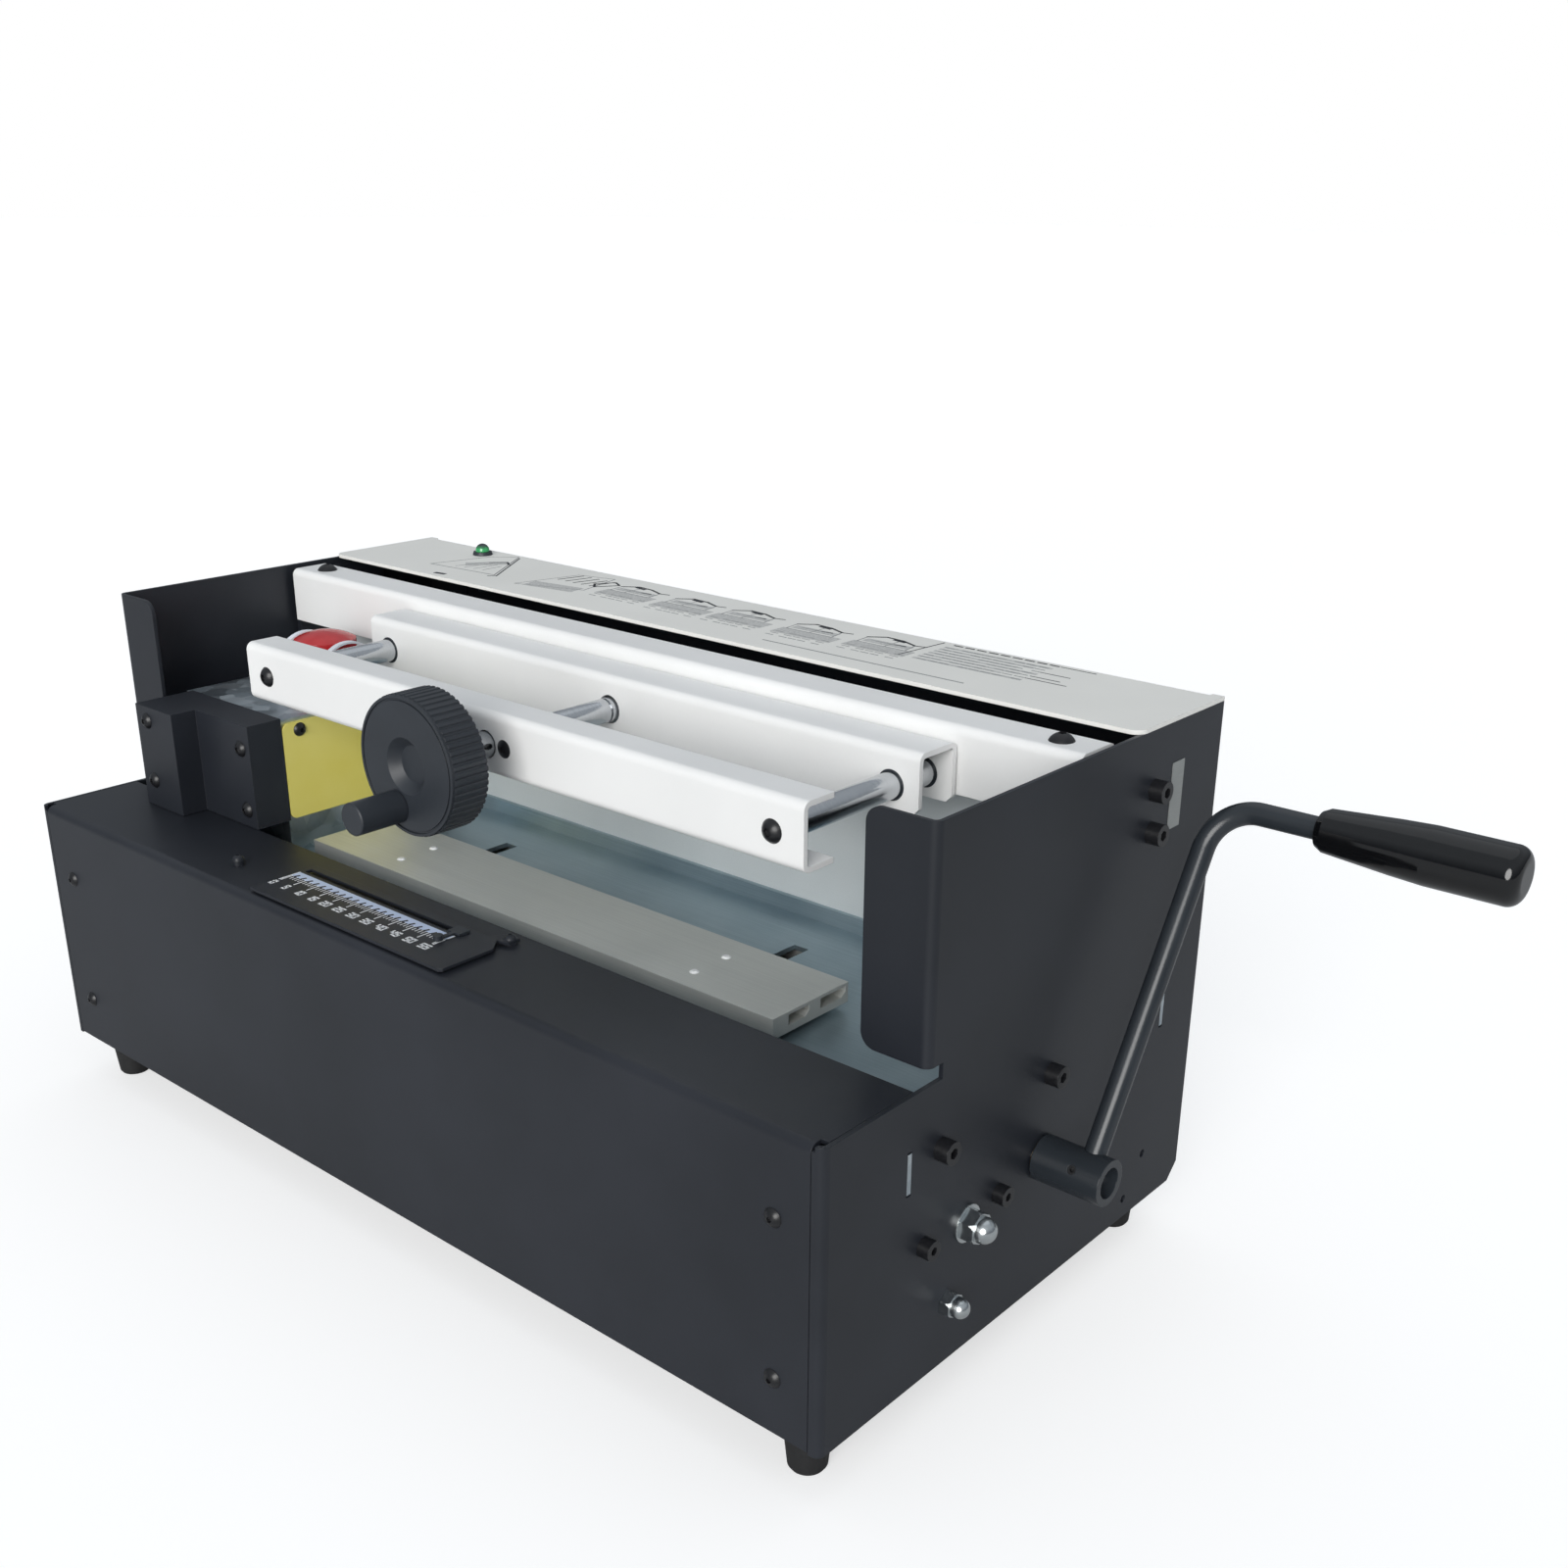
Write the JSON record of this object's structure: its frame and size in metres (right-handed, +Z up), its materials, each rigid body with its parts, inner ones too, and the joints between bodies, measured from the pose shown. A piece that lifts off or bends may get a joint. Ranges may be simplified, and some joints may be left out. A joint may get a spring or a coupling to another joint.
{
  "type": "book binding machine",
  "caption": "Desktop glue binding machine for books: charcoal folded-steel body, white page clamp closed by a hand wheel, sliding nip bar worked by a side lever.",
  "frame": {"origin": "on the floor, under the middle of the body sheet metal", "axes": "+X along the machine to the right (lever side), +Y to the back, +Z up"},
  "size_m": [0.729, 0.2869, 0.2801],
  "materials": {
    "powder_black": "fine-texture charcoal powder coat on folded steel sheet",
    "cover_cream": "smooth warm off-white powder coat",
    "clamp_white": "satin white powder coat",
    "zinc_sheet": "galvanised steel sheet and plate",
    "table_steel": "ground steel plate with a cool cast",
    "back_grey": "light grey powder coat",
    "aluminium_bar": "natural anodised extruded bar",
    "chrome_rod": "hard chrome, ground and polished",
    "zinc_fixing": "bright zinc plate",
    "black_fixing": "black oxide steel",
    "brass": "turned bronze, as machined",
    "black_plastic": "moulded, fine texture",
    "gloss_black": "moulded, polished",
    "black_lever": "satin black enamel on steel",
    "rubber": "moulded rubber",
    "pale_plastic": "slippery plastic pads",
    "yellow_paint": "pale yellow paint",
    "red_plastic": "moulded red plastic",
    "label": "printed grey foil label, text left out"
  },
  "bodies": {
    "frame": {"base_pan": "powder_black", "rubber_feet": "rubber", "foot_screws": "zinc_fixing", "side_panel_left": "powder_black", "side_panel_right": "powder_black", "front_cover": "powder_black", "front_crossmember": "zinc_sheet", "rear_crossmember": "zinc_sheet", "rear_panel": "powder_black", "rear_top_cover": "cover_cream", "cover_screws": "black_fixing", "side_screws": "black_fixing", "bearing_plates": "zinc_sheet", "stud_bolts": "zinc_fixing", "dome_nuts": "zinc_fixing", "stud_washers": "zinc_fixing", "side_label": "label", "table_plate": "table_steel", "back_plate": "back_grey", "heater_bar": "aluminium_bar", "fixed_rail": "clamp_white", "rail_brackets": "powder_black", "rail_dome_screws": "black_fixing", "guide_rods": "chrome_rod", "clamp_screws": "black_fixing", "front_bar": "clamp_white", "spindle_nut": "brass", "shaft_bushes": "brass", "left_housing": "zinc_sheet", "left_cover": "powder_black", "left_cover_fixings": "black_fixing", "yellow_plate": "yellow_paint", "stop_switch": "black_plastic", "scale_plate": "powder_black", "indicator_lamp": "black_plastic", "power_inlet": "black_plastic", "rocker_switch": "black_plastic"},
    "jaw": {"clamp_jaw": "clamp_white", "jaw_bushes": "black_plastic", "jaw_keeper": "zinc_sheet"},
    "wheel": {"spindle": "chrome_rod", "spindle_clip": "zinc_fixing", "hand_wheel": "black_plastic", "peg_pin": "chrome_rod"},
    "peg": {"crank_peg": "black_plastic"},
    "nip": {"nip_bar": "aluminium_bar", "nip_glides": "pale_plastic", "nip_screws": "zinc_fixing", "drive_bar": "zinc_sheet", "yoke_plates": "zinc_sheet"},
    "lever": {"lever_shaft": "chrome_rod", "crank_arms": "zinc_sheet", "crank_pins": "chrome_rod", "lever_hub": "black_lever", "hub_screw": "black_fixing", "lever_rod": "black_lever", "lever_grip": "gloss_black"},
    "button": {"stop_button": "red_plastic"},
    "pointer": {"scale_pointer": "black_plastic"},
    "rocker": {"rocker_key": "red_plastic"}
  },
  "joints": [
    {"name": "jaw_slide", "type": "slide", "parent": "frame", "child": "jaw", "axis": [0, -1, 0], "range_m": [0, 0.055]},
    {"name": "wheel_turn", "type": "hinge", "parent": "jaw", "child": "wheel", "pos_m": [0.026, -0.1, 0.2475], "axis": [0, -1, 0], "range_deg": [0, 6601]},
    {"name": "peg_spin", "type": "hinge", "parent": "wheel", "child": "peg", "pos_m": [0.01795, -0.1315, 0.22757], "axis": [0, -1, 0], "continuous": true},
    {"name": "lever_turn", "type": "hinge", "parent": "frame", "child": "lever", "pos_m": [0, 0.0095, 0.095], "axis": [1, 0, 0], "range_deg": [0, 90]},
    {"name": "nip_slide", "type": "slide", "parent": "frame", "child": "nip", "axis": [0, 1, 0], "range_m": [0, 0.04801]},
    {"name": "stop_press", "type": "slide", "parent": "frame", "child": "button", "axis": [0, 0, -1], "range_m": [0, 0.004], "stiffness_N_per_m": 800, "springref_m": -0.002},
    {"name": "pointer_slide", "type": "slide", "parent": "frame", "child": "pointer", "axis": [1, 0, 0], "range_m": [-0.106, 0]},
    {"name": "rocker_tilt", "type": "hinge", "parent": "frame", "child": "rocker", "pos_m": [-0.13, 0.1371, 0.07], "axis": [0, 0, 1], "range_deg": [-16, 0]}
  ],
  "couplings": [
    {"joint": "wheel_turn", "follows": "jaw_slide", "rad_per_m": 2094.4},
    {"joint": "nip_slide", "follows": "lever_turn", "m_per_rad": 0.030558}
  ]
}
